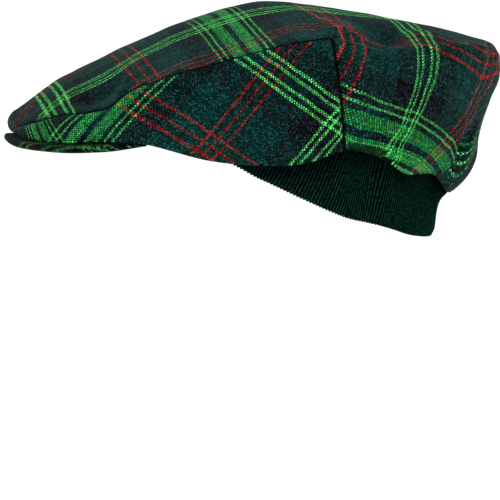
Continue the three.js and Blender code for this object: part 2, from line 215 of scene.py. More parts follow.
# The check: where each stripe starts, in millimetres from the middle of the four fine lines, up to the
# middle of the broad band, where the order turns round
STRIPES = [
    (0.0, "navy"), (1.9, "lime"), (3.5, "navy"), (5.6, "lime"), (7.2, "black"),
    (21.0, "teal"), (42.8, "red"), (44.3, "moss"), (48.5, "red"), (50.0, "moss"), (54.2, "red"),
    (55.7, "teal"), (77.0, "black"), (90.0, "lime"), (91.5, "black"), (93.6, "lime"), (95.2, "navy"),
    (97.6, "green"), (99.2, "fern"), (100.0, "green"), (101.7, "fern"), (102.5, "green"), (104.1, "navy"),
]
HALF_CHECK = 106.0
# How far the threads waver, the most that stray fibres cover, and the height of a loop of the knit
WAVER, STRAY_MOST, LOOP_PITCH = 1.6, 0.35, 0.8
SHARP_ANGLE = math.radians(65)

# The stage, in metres and degrees
LIGHTS = {
    "top_light": {"place": (-0.1, -0.15, 1.5), "turn": (0, 0, 0), "size": 2.2},
    "front_light": {"place": (-0.5, -2.2, 0.9), "turn": (70, 0, -12), "size": 1.6},
}
CAMERA_AIM, CAMERA_RISE, SENSOR_WIDTH = (-0.00976, 0, -0.05), math.radians(3), 36
BACKDROP = {"y": -2, "flat": 3.6, "bend": 1.2, "height": 3.5, "rows": 14, "turns": 72, "glow": 0.28}
WORLD_LIGHT = 0.36


# The crown's form

def curve(a, b, slope_a, slope_b, t):
    """A smooth curve from a at 0 to b at 1 with the slopes given there."""
    t2 = t * t
    t3 = t2 * t
    start = (2 * t3 - 3 * t2 + 1) * a + (t3 - 2 * t2 + t) * slope_a
    return start + (3 * t2 - 2 * t3) * b + (t3 - t2) * slope_b


def column(rows, key, at, ends_in_middle=True):
    """A table's column at fractional rows. Past the cap's middle the rows repeat as in a mirror."""
    values = rows[key]
    sideways = -1 if key.endswith("Y") else 1
    after = sideways * values[-2] if ends_in_middle else 2 * values[-1] - values[-2]
    padded = np.concatenate([[sideways * values[1]], values, [after]])
    i = np.clip(np.floor(at).astype(int), 0, len(values) - 2)
    a, b, c, d = (padded[i + k] for k in range(4))
    return curve(b, c, (c - a) / 2, (d - b) / 2, at - i)


def crest_height(x):
    """Height of the crown's middle line, free of overshoot."""
    xs, zs = CREST["x"], CREST["z"]
    slope = np.diff(zs) / np.diff(xs)
    tangent = np.concatenate([slope[:1], np.zeros(len(slope) - 1), slope[-1:]])
    a, b = slope[:-1], slope[1:]
    level = a * b <= 0
    tangent[1:-1] = np.where(level, 0, 2 * a * b / np.where(level, 1, a + b))
    i = np.clip(np.searchsorted(xs, x, side="right") - 1, 0, len(xs) - 2)
    span = xs[i + 1] - xs[i]
    t = np.clip((x - xs[i]) / span, 0, 1)
    return curve(zs[i], zs[i + 1], span * tangent[i], span * tangent[i + 1], t)


def bump(distance, reach):
    """1 where the distance is 0, falling softly to 0 at the reach."""
    share = np.minimum(np.abs(distance) / reach, 1)
    return (1 - share * share) ** 2


def smooth(share):
    """A soft step from 0 to 1."""
    share = np.clip(share, 0, 1)
    return share * share * (3 - 2 * share)


def stacked(*parts):
    return np.stack(np.broadcast_arrays(*parts), -1)


def unit(ways):
    return ways / np.maximum(np.linalg.norm(ways, axis=-1, keepdims=True), 1e-9)


def swelling(form, s):
    return form["depth"] * bump(s - form["section"], form["sections"])


def crown_point(line, s):
    x, y, z = (column(CROWN, line + axis, s) for axis in "XYZ")
    return stacked(x, -y, z)


def rim_point(s):
    return crown_point("rim", s)


def ridge_point(s):
    return crown_point("ridge", s) + stacked(0, 0, swelling(SEAM_LIFT, s))


def outward(s):
    """The level way out of the cap at a section."""
    rim = rim_point(s)
    x = rim[..., 0] - np.clip(rim[..., 0], SPINE_FRONT, SPINE_BACK)
    return unit(stacked(x, rim[..., 1], 0))


def rim_roll(s):
    """How far the rim is turned under, most of all at the back and at the pocket."""
    return swelling(RIM_ROLL, s) + swelling(POCKET_TUCK, s)


def wall_point(s, up):
    """A point of the left wall, up from 0 at the rim to 1 at the ridge."""
    s, up = np.broadcast_arrays(s, up)
    arc = np.where(up >= 1, 0, np.sin(np.pi * up ** column(CROWN, "low", s)).clip(0))
    out = column(CROWN, "bulge", s) * arc ** column(CROWN, "full", s)
    for section, wide, height, tall, depth in WALL_FOLDS.values():
        out = out + depth * arc * bump(s - section, wide) * bump(up - height, tall)
    rolled = np.maximum(1 - up / RIM_ROLL["height"], 0) ** 2
    out = out - rim_roll(s) * rolled
    share = up[..., None]
    return rim_point(s) * (1 - share) + ridge_point(s) * share + outward(s) * out[..., None]


def top_point(s, across):
    """A point of the top's left half, across from 0 at the middle to 1 at the ridge."""
    s, across = np.broadcast_arrays(s, across)
    ridge = ridge_point(s)
    crest_x = column(CROWN, "crestX", s)
    fall = (np.hypot(1, across / ROOF_ROUNDING) - 1) / (math.hypot(1, 1 / ROOF_ROUNDING) - 1)
    x = crest_x + (ridge[..., 0] - crest_x) * across**2
    z = crest_height(crest_x) * (1 - fall) + ridge[..., 2] * fall
    out = np.zeros_like(x)
    fade = np.sin(np.pi * across)
    for section, wide, middle, reach, depth in TOP_FOLDS.values():
        out = out + depth * fade * bump(s - section, wide) * bump(across - middle, reach)
    lean = across * ROOF_LEAN
    return stacked(x, ridge[..., 1] * across - np.sin(lean) * out, z + np.cos(lean) * out)


def mirrored(points):
    return points * np.array([1, -1, 1])


# Cloth laid on the form

def run(points, axis):
    """Length along one way of a grid of points."""
    steps = np.linalg.norm(np.diff(points, axis=axis), axis=-1)
    start = np.zeros_like(np.take(steps, [0], axis=axis))
    return np.concatenate([start, np.cumsum(steps, axis=axis)], axis=axis)


def graded(count, closeness):
    """Shares from 0 to 1 that lie closer together towards both ends."""
    t = np.linspace(0, 1, count + 1)
    return t - closeness * np.sin(2 * np.pi * t) / (2 * np.pi)


def lay(key, s):
    return column(LAY, key, s)


def top_cloth(s, points, side):
    """The check's place on half of the top, whose rows run from the crest to the ridge."""
    length = run(points, 1)
    if side != 1:
        along = lay("crestAlong", s) + math.sin(RIGHT_SLANT) * length
        return stacked(along, lay("crestAcross", s) - math.cos(RIGHT_SLANT) * length, 0)
    share = length / np.maximum(length[:, -1:], 1e-6)
    along, across = (lay("crest" + way, s) * (1 - share) + lay("ridge" + way, s) * share
                     for way in ("Along", "Across"))
    return stacked(along, across + lay("bow", s) * 4 * share * (1 - share), 0)


def front_cloth(points, ridge):
    """The check's place on the front wall, where the top's cloth runs straight on down from the ridge."""
    length = run(points, 1)
    return stacked(ridge[..., 0] - (length[:, -1:] - length), ridge[..., 1], 0)


def tucked(across, share):
    """Places across the check, turned back past the tuck behind the pleat."""
    return across - (1 + BEHIND["back"]) * np.maximum(across - BEHIND["across"], 0) * share


def lowered(down, turn):
    """How far the cloth behind the pleat lies in its own way; turn is 1 at the middle of the back."""
    past = down - BEHIND["start"] + BEHIND["sooner"] * turn
    return smooth(past / (BEHIND["rise"] + BEHIND["slower"] * turn))


def rear_left_cloth(s, down, ridge):
    """The check's place on the left of the rear wall, as far as the pleat and behind it, with painted shade
    in the pleat and on the rim's tuck.
    """
    pleat = PLEAT["middle"] + (PLEAT["rim"] - PLEAT["middle"]) * np.maximum(down * 2 - 1, 0)
    low = smooth((down - LOBE_CURL["start"]) / (1 - LOBE_CURL["start"]))
    along = ridge[..., 0] + lay("sweep", s) * down ** lay("ease", s)
    along = along - low * swelling(LOBE_CURL, s)
    across = ridge[..., 1] + lay("fall", s) * down ** lay("settle", s)
    behind = smooth((s - pleat) / PLEAT["width"])
    low_behind = behind * lowered(down, smooth(s - LAST + 1))
    along = along + (BEHIND["along"] + BEHIND["step"] * (s - LAST) - along) * low_behind
    across = tucked(across + BEHIND["lift"] * low_behind, behind)
    # Painted shade in the pleat's fold
    pleat_shade = bump(s - pleat - PLEAT["width"] / 2, PLEAT["shade"])
    pleat_shade = pleat_shade * smooth((down - PLEAT["start"]) / PLEAT["rise"])
    # Painted shade on the lowest part of the wall behind the rear seam, where the rim is tucked
    shaded = smooth((down - RIM_TUCK["start"]) / RIM_TUCK["rise"])
    shaded = shaded * smooth((s - RIM_TUCK["from"]) / RIM_TUCK["fade_in"])
    shaded = shaded * smooth((RIM_TUCK["to"] - s) / RIM_TUCK["fade_out"])
    return stacked(along, across, np.maximum(pleat_shade, RIM_TUCK["dark"] * shaded))


def rear_right_cloth(s, down, ridge, tall):
    """The check's place on the right of the rear wall, hung straight down away from the middle."""
    way = unit(np.gradient(ridge[:, 0], s[:, 0], axis=0))
    hung = stacked(way[:, 1], -way[:, 0], 0)[:, None] * (down * tall)[..., None]
    lower = lowered(down, 1)
    along = LAY["sweep"][LAST] * down * (1 - lower) + (BEHIND["along"] - LAY["ridgeAlong"][LAST]) * lower
    back = stacked(along, LAY["fall"][LAST] * down, 0)
    near_middle = smooth((s - LAST + BEHIND["sections"]) / BEHIND["sections"])[..., None]
    laid = ridge + hung * (1 - near_middle) + back * near_middle
    lift = BEHIND["lift"] * lower * near_middle[..., 0]
    return stacked(laid[..., 0], tucked(laid[..., 1] + lift, 1), 0)


def rear_cloth(s, points, ridge, side):
    """The check's place on half of the rear wall, under the top's cloth at the ridge."""
    length = run(points, 1)
    tall = length[:, -1:]
    down = 1 - length / tall
    return rear_left_cloth(s, down, ridge) if side == 1 else rear_right_cloth(s, down, ridge, tall)


def side_cloth(points):
    """The check's place on a side panel, gathered towards the front and unrolled up the wall."""
    middle = points[:, points.shape[1] // 2]
    gather = smooth((points[..., 0] - SIDE_GATHER["from"]) / (SIDE_GATHER["to"] - SIDE_GATHER["from"]))
    x = points[..., 0] + SIDE_GATHER["depth"] * gather
    height = run(points, 1)
    half = height[:, points.shape[1] // 2]
    z = middle[:, None, 2] + height - half[:, None]
    along, across = (lie["start"] + lie["x"] * x + lie["z"] * z for lie in (SIDE_ALONG, SIDE_ACROSS))
    across = across + SIDE_FRONT["turn"] * np.maximum(SIDE_FRONT["from"] - points[..., 0], 0) ** 2
    return stacked(along, across, 0)


class CrownNet:
    """The crown's outer face as one net of points, each patch of it marked with its panel."""

    FRONT_STEPS, SIDE_STEPS, REAR_STEPS = 14, 130, 90
    WALL_ROWS, TOP_COLUMNS = 38, 46
    STEPS_CLOSER, ROWS_CLOSER, COLUMNS_CLOSER = 0.6, 0.8, 1.25
    RIM_STEPS = 5

    def __init__(self, hem):
        self.patches = []
        spans = [(0, FRONT_SEAM, self.FRONT_STEPS), (FRONT_SEAM, REAR_SEAM, self.SIDE_STEPS),
                 (REAR_SEAM, LAST, self.REAR_STEPS)]
        up = graded(self.WALL_ROWS, self.ROWS_CLOSER)[None, :]
        across = 1 - np.linspace(1, 0, self.TOP_COLUMNS + 1)[None, :] ** self.COLUMNS_CLOSER
        for start, end, count in spans:
            s = (start + (end - start) * graded(count, self.STEPS_CLOSER))[:, None]
            tall = np.linalg.norm(ridge_point(s) - rim_point(s), axis=-1)
            lifted = hem / tall + (1 - hem / tall) * up
            wall = wall_point(s, lifted)
            top = top_point(s, across)
            for side, name in ((1, "left"), (-1, "right")):
                place = (lambda points: points) if side == 1 else mirrored
                laid = top_cloth(s, top, side)
                if start == FRONT_SEAM:
                    panel, cloth = f"side_panel_{name}", side_cloth(wall)
                elif start == 0:
                    panel, cloth = "centre_panel", front_cloth(wall, laid[:, -1:])
                else:
                    panel, cloth = "centre_panel", rear_cloth(s, wall, laid[:, -1:], side)
                self.add(panel, place(wall), cloth, side == 1, place(outward(s[:, 0])))
                self.add("centre_panel", place(top), laid, side != 1, None)
        self.weld()

    def add(self, panel, points, cloth, forward, rim_way):
        patch = {"panel": panel, "points": points, "cloth": cloth, "forward": forward, "rim_way": rim_way}
        self.patches.append(patch)

    def weld(self):
        """Joins the patches where they meet, and works out each point's way out of the cloth."""
        loose = np.concatenate([patch["points"].reshape(-1, 3) for patch in self.patches])
        near = np.round(loose, 3) + 0.0
        _, first, index = np.unique(near, axis=0, return_index=True, return_inverse=True)
        index = index.reshape(-1)
        self.points = loose[first]
        start = 0
        ways = np.zeros_like(self.points)
        self.rim = set()
        for patch in self.patches:
            rows, columns = patch["points"].shape[:2]
            grid = index[start:start + rows * columns].reshape(rows, columns)
            start += rows * columns
            corners = [grid[:-1, :-1], grid[1:, :-1], grid[1:, 1:], grid[:-1, 1:]]
            quads = np.stack(corners, -1).reshape(-1, 4)
            patch["grid"] = grid
            patch["quads"] = quads if patch["forward"] else quads[:, ::-1]
            for corners in (patch["quads"][:, [0, 1, 2]], patch["quads"][:, [0, 2, 3]]):
                a, b, c = (self.points[corners[:, k]] for k in range(3))
                square = np.cross(b - a, c - a)
                for k in range(3):
                    np.add.at(ways, corners[:, k], square)
        self.ways = unit(ways)
        for patch in self.patches:
            if patch["rim_way"] is not None:
                self.ways[patch["grid"][:, 0]] = patch["rim_way"]
                self.rim.update(patch["grid"][:, 0].tolist())

    def quads(self, panel):
        return np.concatenate([p["quads"] for p in self.patches if p["panel"] == panel])

    def cloth(self, panel):
        places = np.zeros((len(self.points), 3))
        for patch in self.patches:
            if patch["panel"] == panel:
                places[patch["grid"].reshape(-1)] = patch["cloth"].reshape(-1, 3)
        return places


def open_edges(quads):
    """The quads' edges that only one of them has, in its own direction."""
    starts = quads.reshape(-1)
    ends = np.roll(quads, -1, axis=1).reshape(-1)
    real = starts != ends
    starts, ends = starts[real], ends[real]
    size = quads.max() + 1
    alone = ~np.isin(starts * size + ends, ends * size + starts)
    return np.stack([starts[alone], ends[alone]], -1)


def seam_points(net):
    """The points where two panels meet."""
    sides = np.concatenate([net.quads("side_panel_left"), net.quads("side_panel_right")])
    return np.intersect1d(sides, net.quads("centre_panel"))


def creased(points):
    """How far the creases on both sides of the cap move each point."""
    offsets = np.zeros(len(points))
    for face, line, width, height in CREASES.values():
        sections, shares = np.array(line).T
        t = np.linspace(0, 1, CREASE_STEPS)
        knots = np.linspace(0, 1, len(line))
        at = (np.interp(t, knots, sections), np.interp(t, knots, shares))
        path = top_point(*at) if face == "top" else wall_point(*at)
        fade = np.sin(np.pi * np.clip(t, CREASE_END, 1 - CREASE_END)) ** 0.5
        for side in (path, mirrored(path)):
            gaps = np.linalg.norm(points[:, None, :] - side[None, :, :], axis=2)
            nearest = gaps.argmin(axis=1)
            gap = gaps[np.arange(len(points)), nearest]
            offsets += height * fade[nearest] * np.exp(-((gap / width) ** 2))
    return offsets


def draw_in(net, seams, sizes):
    """Cloth drawn in along the seams, with shallow puckers beside them and a soft unevenness all over."""
    tree = kdtree.KDTree(len(seams))
    for n, point in enumerate(net.points[seams]):
        tree.insert(point, n)
    tree.balance()
    names = ("seam_sink", "seam_reach", "pucker", "unevenness")
    sink, reach, pucker, soft = (getattr(sizes, name) / MM for name in names)
    offsets = np.empty(len(net.points))
    near_seam = np.empty(len(net.points))
    for n, point in enumerate(net.points):
        distance = tree.find(point)[2]
        spot = Vector(point)
        near = max(1 - distance / reach, 0)
        near_seam[n] = near
        beside = math.exp(-distance / RELIEF["reach"])
        offset = -sink * near * near
        offset += pucker * beside * (1 - near) * noise.noise(spot * RELIEF["pucker"])
        waves = noise.noise(spot * RELIEF["wave"]) + RELIEF["second"] * noise.noise(spot * RELIEF["ripple"])
        offset += soft * waves
        offsets[n] = offset * (RELIEF["rim"] if n in net.rim else 1)
    offsets += creased(net.points)
    net.points = net.points + net.ways * offsets[:, None]
    # How near each point lies to a seam, painted later as shade in the seams' grooves
    net.near_seam = near_seam


def drawn_apart(net, edges, seams, gap):
    """The net's points with those of one panel's seams drawn in from the seam by half its gap."""
    on_seam = np.zeros(len(net.points), dtype=bool)
    on_seam[seams] = True
    pull = np.zeros_like(net.points)
    a, b = edges[on_seam[edges].all(axis=1)].T
    for n in (a, b):
        np.add.at(pull, n, unit(np.cross(net.ways[n], net.points[b] - net.points[a])))
    return net.points + unit(pull) * (gap / 2)


def panel_mesh(name, net, seams, sizes):
    """One panel as a wall of cloth: outer face, inner face, edges along the seams and a rounded rim."""
    quads = net.quads(name)
    edges = open_edges(quads)
    used = np.unique(quads)
    place = np.full(len(net.points), -1)
    place[used] = np.arange(len(used))
    thick = sizes.cloth / MM
    outer = drawn_apart(net, edges, seams, sizes.seam_gap / MM)[used]
    inner = outer - net.ways[used] * thick
    count = len(used)
    vertices = [outer, inner]
    total = 2 * count
    faces = [[int(place[n]) for n in dict.fromkeys(quad)] for quad in quads]
    faces += [[count + n for n in reversed(face)] for face in faces]
    faces = [face for face in faces if len(face) > 2]
    rounds = net.RIM_STEPS
    hem_rows = {}
    rim_nodes = sorted(set(edges.reshape(-1).tolist()) & net.rim)
    down = np.array([0, 0, -1.0])
    for n in rim_nodes:
        middle = (outer[place[n]] + inner[place[n]]) / 2
        row = []
        for k in range(1, rounds):
            turn = math.pi * k / rounds
            row.append(middle + (net.ways[n] * math.cos(turn) + down * math.sin(turn)) * thick / 2)
        vertices.append(np.array(row))
        hem_rows[n] = [int(place[n]), *range(total, total + rounds - 1), count + int(place[n])]
        total += rounds - 1
    ends = {}
    for a, b in edges.tolist():
        if a in hem_rows and b in hem_rows:
            first, second = hem_rows[a], hem_rows[b]
            for k in range(rounds):
                faces.append([second[k], first[k], first[k + 1], second[k + 1]])
            ends[a] = ends.get(a, 0) + 1
            ends[b] = ends.get(b, 0) + 1
        else:
            faces.append([int(place[b]), int(place[a]), count + int(place[a]), count + int(place[b])])
    for n, times in ends.items():
        if times == 1:
            row = hem_rows[n]
            leads = any(a == n and b in hem_rows for a, b in edges.tolist())
            faces.append(list(reversed(row)) if leads else row)
    cloth = net.cloth(name)[used]
    # The cloth's third part is painted shade: in the seams' grooves and wherever the patch's own lay asks
    # for it
    cloth[:, 2] = np.maximum(cloth[:, 2], net.near_seam[used])
    shares = [cloth, cloth] + [np.repeat(cloth[[place[n]]], rounds - 1, axis=0) for n in rim_nodes]
    return np.concatenate(vertices), faces, np.concatenate(shares)


def linked(name, data):
    """A new object in the scene."""
    thing = bpy.data.objects.new(name, data)
    bpy.context.scene.collection.objects.link(thing)
    return thing


def smooth_object(name, vertices, faces, material):
    """A new object with a smooth mesh, in metres."""
    mesh = bpy.data.meshes.new(name)
    mesh.from_pydata(vertices, [], faces)
    mesh.update()
    mesh.shade_smooth()
    mesh.materials.append(material)
    return linked(name, mesh)


def cloth_object(name, vertices, faces, cloth, material):
    """A smooth object, from millimetres, that carries the check's place at each point."""
    piece = smooth_object(name, (vertices * MM).tolist(), faces, material)
    piece.data.set_sharp_from_angle(angle=SHARP_ANGLE)
    places = piece.data.attributes.new("cloth", "FLOAT_VECTOR", "POINT")
    places.data.foreach_set("vector", cloth.ravel())
    return piece


def dress(piece, node):
    """Puts a finished piece in the place of its CAD node."""
    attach(piece, "root")
    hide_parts(node)


# Node trees

class Value:
    """A node's socket in an expression: arithmetic on it adds Math nodes to its tree."""

    def __init__(self, nodes, socket):
        self.nodes = nodes
        self.socket = socket

    def math(self, operation, *others):
        return self.nodes.add("ShaderNodeMath", {"operation": operation}, dict(enumerate([self, *others])))

    def under(self, operation, other):
        return self.nodes.add("ShaderNodeMath", {"operation": operation}, {0: other, 1: self})

    def __add__(self, other):
        return self.math("ADD", other)

    __radd__ = __add__

    def __sub__(self, other):
        return self.math("SUBTRACT", other)

    def __rsub__(self, other):
        return self.under("SUBTRACT", other)

    def __mul__(self, other):
        return self.math("MULTIPLY", other)

    __rmul__ = __mul__

    def __truediv__(self, other):
        return self.math("DIVIDE", other)

    def __rtruediv__(self, other):
        return self.under("DIVIDE", other)

    def __pow__(self, other):
        return self.math("POWER", other)

    def __abs__(self):
        return self.math("ABSOLUTE")

    def sine(self):
        return self.math("SINE")

    def between(self, low, high):
        return self.nodes.add("ShaderNodeClamp", {}, {"Value": self, "Min": low, "Max": high})


class Nodes:
    """Adds nodes to one tree."""

    def __init__(self, tree):
        self.tree = tree

    def add(self, kind, settings, inputs, output=0):
        """Adds a node, makes its settings, fills or links its sockets, and gives one of its outputs."""
        node = self.tree.nodes.new(kind)
        for key, setting in settings.items():
            if key == "stops":
                self.set_stops(node.color_ramp, setting)
            else:
                setattr(node, key, setting)
        for key, given in inputs.items():
            if isinstance(given, Value):
                self.tree.links.new(given.socket, node.inputs[key])
            else:
                node.inputs[key].default_value = given
        return Value(self, node.outputs[output]) if len(node.outputs) else node

    @staticmethod
    def set_stops(ramp, stops):
        ramp.interpolation = "CONSTANT"
        while len(ramp.elements) < len(stops):
            ramp.elements.new(1.0)
        for element, (position, colour) in zip(ramp.elements, stops):
            element.position = position
            element.color = (*colour, 1)

    def mix(self, share, first, second, blend="MIX"):
        settings = {"data_type": "RGBA", "blend_type": blend}
        return self.add("ShaderNodeMix", settings, {0: share, 6: first, 7: second}, 2)

    def parts(self, vector):
        first = self.add("ShaderNodeSeparateXYZ", {}, {0: vector})
        return [Value(self, socket) for socket in first.socket.node.outputs]

    def cloud(self, place, scale, detail, roughness=0.5, output=0):
        inputs = {"Vector": place, "Scale": scale, "Detail": detail, "Roughness": roughness}
        return self.add("ShaderNodeTexNoise", {}, inputs, output)

    def dice(self, dimensions, inputs, output=0):
        return self.add("ShaderNodeTexWhiteNoise", {"noise_dimensions": dimensions}, inputs, output)

    def shaded(self, colour, shade):
        grey = self.add("ShaderNodeCombineColor", {}, {0: shade, 1: shade, 2: shade})
        return self.mix(1.0, colour, grey, "MULTIPLY")

    def relief(self, strength, distance, height):
        inputs = {"Strength": strength, "Distance": distance, "Height": height}
        return self.add("ShaderNodeBump", {}, inputs)


def new_material(name):
    material = bpy.data.materials.new(name)
    material.use_nodes = True
    material.node_tree.nodes.clear()
    return material, Nodes(material.node_tree)


def matt_shader(nodes, colour, roughness, normal, gloss, sheen, tint, softness):
    """A rough cloth shader with a constant gloss and sheen, as the tree's output."""
    sockets = {
        "Base Color": colour,
        "Roughness": roughness,
        "Normal": normal,
        "Specular IOR Level": gloss,
        "Sheen Weight": sheen,
        "Sheen Roughness": softness,
        "Sheen Tint": (*tint, 1),
    }
    shader = nodes.add("ShaderNodeBsdfPrincipled", {}, sockets)
    nodes.add("ShaderNodeOutputMaterial", {}, {"Surface": shader})


def cloth_material(name):
    """A new material, its nodes, the cloth's place and the three parts of it."""
    material, nodes = new_material(name)
    place = nodes.add("ShaderNodeAttribute", {"attribute_name": "cloth"}, {}, "Vector")
    return material, nodes, place, nodes.parts(place)


def wool_material(look):
    """Plain-woven wool in a check, from the cloth attribute, with painted shade at each thread's edges and
    where the attribute's third part asks for it.
    """
    material, nodes, place, (along, across, seam) = cloth_material("checked_wool")
    waver_along, waver_across, _ = nodes.parts(nodes.cloud(place, 0.12, 2, output="Color"))
    ways = [along + (waver_along - 0.5) * WAVER, across + (waver_across - 0.5) * WAVER]
    pitch = look.thread_pitch / MM
    stops = [(start / HALF_CHECK, getattr(look, colour)) for start, colour in STRIPES]
    dyed, numbers, waves, slubs = [], [], [], []
    for way in ways:
        turn = way.math("PINGPONG", HALF_CHECK) / HALF_CHECK
        dyed.append(nodes.add("ShaderNodeValToRGB", {"stops": stops}, {0: turn}))
        number = (way / pitch).math("FLOOR")
        numbers.append(number)
        slubs.append(nodes.dice("1D", {"W": number}))
        waves.append((way * (math.pi / pitch)).sine())
    over = (waves[0] * waves[1] * 6 + 0.5).between(0, 1)
    plain = nodes.mix(over, dyed[0], dyed[1])
    slub = slubs[0] * (1 - over) + slubs[1] * over
    crossing = nodes.add("ShaderNodeCombineXYZ", {}, {0: numbers[0], 1: numbers[1]})
    spot = nodes.dice("3D", {"Vector": crossing})
    stray, _, _ = nodes.parts(nodes.dice("3D", {"Vector": crossing}, "Color"))
    woven = nodes.mix((stray * 4 - 3).between(0, STRAY_MOST), plain, (*look.stray, 1))
    round_thread = (abs(waves[0]) * abs(waves[1])) ** 0.5
    # Painted shade at the edges of each thread, lighter along its middle
    thread_edge_shade = 0.2 + round_thread * 1.05
    spot_tone = 0.43 + spot * spot * 1.7
    slub_tone = 0.6 + slub * 0.8
    mottle_tone = 0.6 + nodes.cloud(place, 0.25, 3, 0.7) * 0.8
    # Painted shade from the cloth's third part: in the seams' grooves, in the pleat's fold, on the rim's
    # tuck and on the peak
    painted_shade_tone = 1 - 0.97 * (seam * 4 - 2.5).between(0, 1)
    shade = thread_edge_shade * spot_tone * slub_tone * mottle_tone * painted_shade_tone
    normal = nodes.relief(0.5, 0.0003, round_thread + spot * 0.5)
    matt_shader(nodes, nodes.shaded(woven, shade), 0.95 - round_thread * 0.12, normal,
                gloss=0.03, sheen=look.sheen, tint=look.sheen_tint, softness=0.4)
    return material


def knit_material(look):
    """Ribbed wool knit: rows of loops along the ribs, with painted shade in the grooves, between the loops
    and under the rim, from the cloth attribute.
    """
    material, nodes, place, (along, down, _) = cloth_material("ribbed_knit")
    groove = abs((along * (math.pi / (look.rib_pitch / MM))).sine())
    loops = abs((down * (math.pi / LOOP_PITCH) + groove * 2.2).sine())
    fuzz = nodes.cloud(place, 1.6, 3, 0.7)
    # Painted shade in the grooves between the ribs and between the rows of loops
    rib_and_loop_shade = (2.2 - groove * 2.3).between(0.02, 2.2) * (0.7 + loops * 0.4)
    fuzz_tone = 0.3 + fuzz * 1.4
    grain_tone = (nodes.cloud(place, 0.8, 2) * 5.5 - 1.75).between(0.15, 2.4)
    patch_tone = 0.7 + nodes.cloud(place, 0.12, 2) * 0.6
    # Painted shade under the crown's rim, darker towards the flap's top
    rim_shadow = 0.35 + ((down - 14) / 22).between(0, 0.65)
    shade = rib_and_loop_shade * fuzz_tone * grain_tone * patch_tone * rim_shadow
    normal = nodes.relief(0.6, 0.0004, loops + fuzz * 0.7)
    matt_shader(nodes, nodes.shaded((*look.knit_colour, 1), shade), 0.97 - loops * 0.1, normal,
                gloss=0.0, sheen=0.02, tint=(0.4, 0.8, 0.7), softness=0.5)
    return material


# Pieces

def peak_cloth(outline, forward, past):
    """The check's place on the peak, whose cloth lies turned and wraps its edge, and its painted shade."""
    x, y = (outline[:2] + forward[:2] * past[:, None]).T
    c, s = math.cos(PEAK_CLOTH_TURN), math.sin(PEAK_CLOTH_TURN)
    along, across = PEAK_CLOTH_START
    return stacked(along + c * x + s * y, across - s * x + c * y, PEAK_SHADE)


def peak_loop(s, thick):
    """The peak's outline across its thickness, on the left, with the check's place at each point."""
    at = {key: float(column(PEAK, key, np.array(s), False)) for key in PEAK}
    out = np.array([at["outX"], -at["outY"], at["outZ"]])
    back = np.array([at["inX"], -at["inY"], at["inZ"]])
    half = thick / 2 * (1 - PEAK_TAPER["share"] * max(s - PEAK_TAPER["from"], 0) ** 2)
    length = np.linalg.norm(out - back)
    forward = (out - back) / length
    up = unit(np.array([0, 0, 1]) - forward * forward[2])
    flat = np.linspace(0, 1, PEAK_ROWS + 1)[:-1]
    edge = np.linspace(0, math.pi, PEAK_TURNS + 1)
    share = np.concatenate([flat, np.ones_like(edge), flat[::-1]])
    turn = np.concatenate([np.zeros_like(flat), edge, np.full_like(flat, math.pi)])
    rounded = np.sin(turn)[:, None] * forward + np.cos(turn)[:, None] * up
    points = back + share[:, None] * (out - back) + half * rounded
    return points, peak_cloth(out, forward, half * turn + (share - 1) * length)


def bands(loops, count, first=0):
    """Faces between neighbours in a row of closed loops, whose points are numbered from the first."""
    faces = []
    for a in range(first, first + (loops - 1) * count, count):
        for j in range(count):
            k = (j + 1) % count
            faces.append([a + j, a + count + j, a + count + k, a + k])
    return faces


def loft(loops):
    """Faces through a row of closed loops, with both ends closed."""
    count = len(loops[0])
    last = (len(loops) - 1) * count
    return bands(len(loops), count) + [[*range(count)], [*range(last, last + count)][::-1]]


class FlapForm:
    """The ear flap's wall, whose ribs stand square to its lower edge."""

    STATIONS = 1601

    def __init__(self, thick):
        self.thick = thick
        self.s = np.linspace(FLAP_START, LAST, self.STATIONS)
        self.along = run(rim_point(self.s)[None, :, :2], 1)[0]
        self.lean = -np.gradient(column(FLAP, "hemZ", self.s - FLAP_START), self.along)

    def column_at(self, along, shares):
        """Sections and shares of one rib, from the top of the flap down to its hem."""
        s_hem = np.interp(along, self.along, self.s)
        lean = np.interp(along, self.along, self.lean)
        top, hem = self.ends(np.array(s_hem))
        rise = (1 - shares) * (top - hem)
        return np.interp(np.minimum(along + lean * rise, self.along[-1]), self.along, self.s)

    def ends(self, s):
        tuck = TUCK_FRONT + (TUCK_BACK - TUCK_FRONT) * np.minimum(s - FLAP_START, 1)
        return column(CROWN, "rimZ", s) + tuck, column(FLAP, "hemZ", s - FLAP_START)

    def face(self, s, share, depth):
        rim = rim_point(s)
        top, hem = self.ends(s)
        z = top + (hem - top) * share
        below = np.maximum(rim[..., 2] - z, 0)
        rolled = rim_roll(s)
        flare = np.maximum(column(FLAP, "flare", s - FLAP_START) - rolled, 0)
        curl = HEM_CURL["depth"] * np.clip((share - HEM_CURL["start"]) / (1 - HEM_CURL["start"]), 0, 1) ** 2
        closing = rolled + flare * (1 - np.exp(-below / FLARE_DROP)) + FLAP_LEAN * below + curl
        under = np.maximum(rim[..., 2] - z + FLAP_SWELL["lead"], 0)
        swell = smooth(under / FLAP_SWELL["rise"]) * np.exp(-under / FLAP_SWELL["fade"])
        closing = closing - FLAP_SWELL["depth"] * swell * bump(s - LAST, RIM_ROLL["sections"])
        inset = self.thick + closing + depth
        return stacked(rim[..., 0], rim[..., 1], z) - outward(s) * inset[..., None]


